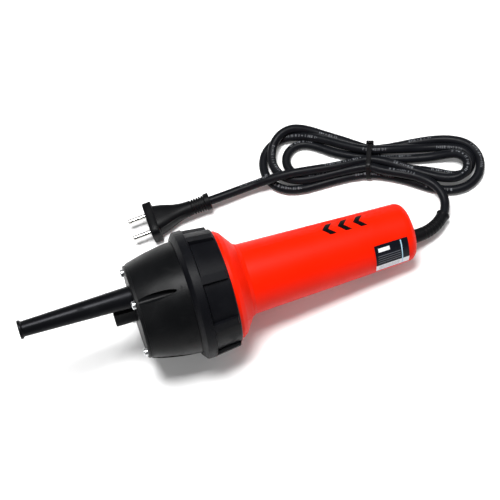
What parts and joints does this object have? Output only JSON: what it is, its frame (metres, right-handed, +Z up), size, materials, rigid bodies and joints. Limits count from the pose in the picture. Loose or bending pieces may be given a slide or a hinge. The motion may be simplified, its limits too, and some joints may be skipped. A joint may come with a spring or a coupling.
{
  "type": "heat gun",
  "caption": "Inline corded heat gun: red barrel handle, black ribbed coupling ring and domed nose, slim off-centre nozzle tube, blower motor, heater, and a tied mains cord with a plug.",
  "frame": {"origin": "centre of the underside of the box around the tool, without its cord and plug, on the surface that it lies on", "axes": "+Z up; +X along the tool towards the handle's rear, so the nozzle points towards -X and a little up; -Y the side of the rating label"},
  "size_m": [0.4654, 0.2161, 0.1208],
  "materials": {
    "red_shell": "satin",
    "label": "satin",
    "black_ring": "satin",
    "rubber": "matte",
    "black_nose": "satin",
    "black_plate": "satin",
    "zinc_steel": "satin",
    "black_tube": "satin",
    "mica": "satin",
    "ceramic": "matte",
    "heater_wire": "satin",
    "nylon": "satin",
    "aluminium": "satin",
    "bearing_steel": "polished",
    "laminated_iron": "satin",
    "copper": "satin",
    "brass": "satin",
    "carbon": "matte",
    "board": "satin",
    "block": "satin",
    "lead_sleeve": "matte",
    "switch_plastic": "gloss",
    "cord_rubber": "matte",
    "tie_plastic": "satin",
    "nickel": "polished"
  },
  "bodies": {
    "tool": {"housing": "red_shell", "rating_label": "label", "seal_ring": "rubber", "nose_shell": "black_nose", "front_plate": "black_plate", "front_screws": "zinc_steel", "nozzle_tube": "black_tube", "tube_gasket": "mica", "mica_sleeve": "mica", "heater_former": "ceramic", "heater_coil": "heater_wire", "duct_plate": "nylon", "thermal_cutout": "aluminium", "bearing_cap": "black_plate", "front_bearing": "bearing_steel", "middle_bearing": "bearing_steel", "rear_bearing": "bearing_steel", "inlet_plate": "nylon", "stator_core": "laminated_iron", "field_coils": "copper", "rear_end_frame": "nylon", "front_end_frame": "nylon", "motor_bolts": "zinc_steel", "brush_holders": "brass", "carbon_brushes": "carbon", "brush_springs": "zinc_steel", "brush_carrier": "nylon", "control_board": "board", "terminal_block": "block", "capacitor": "block", "heater_leads": "lead_sleeve", "switch_body": "switch_plastic", "cord_end": "cord_rubber", "cord_clamp": "nylon", "clamp_screws": "zinc_steel", "cord_boot": "cord_rubber", "cord_lead": "cord_rubber", "cord_tail": "cord_rubber", "cord_hank": "cord_rubber", "cable_tie": "tie_plastic", "plug_body": "cord_rubber", "plug_pins": "nickel"},
    "rotor": {"shaft": "bearing_steel", "armature_core": "laminated_iron", "armature_windings": "copper", "commutator": "copper", "impeller": "nylon", "impeller_nut": "zinc_steel"},
    "ring": {"coupling_ring": "black_ring"},
    "rocker": {"switch_rocker": "switch_plastic"}
  },
  "joints": [
    {"name": "rotor_spin", "type": "hinge", "parent": "tool", "child": "rotor", "pos_m": [0.06318, 0, 0.04556], "axis": [-0.9871, 0, 0.1604], "continuous": true},
    {"name": "ring_turn", "type": "hinge", "parent": "tool", "child": "ring", "pos_m": [-0.01578, 0, 0.05839], "axis": [-0.9871, 0, 0.1604], "range_deg": [0, 40]},
    {"name": "switch_rock", "type": "hinge", "parent": "tool", "child": "rocker", "pos_m": [0.14454, 0.02392, 0.02254], "axis": [0.1487, 0.3746, 0.9152], "range_deg": [-7, 7]}
  ]
}
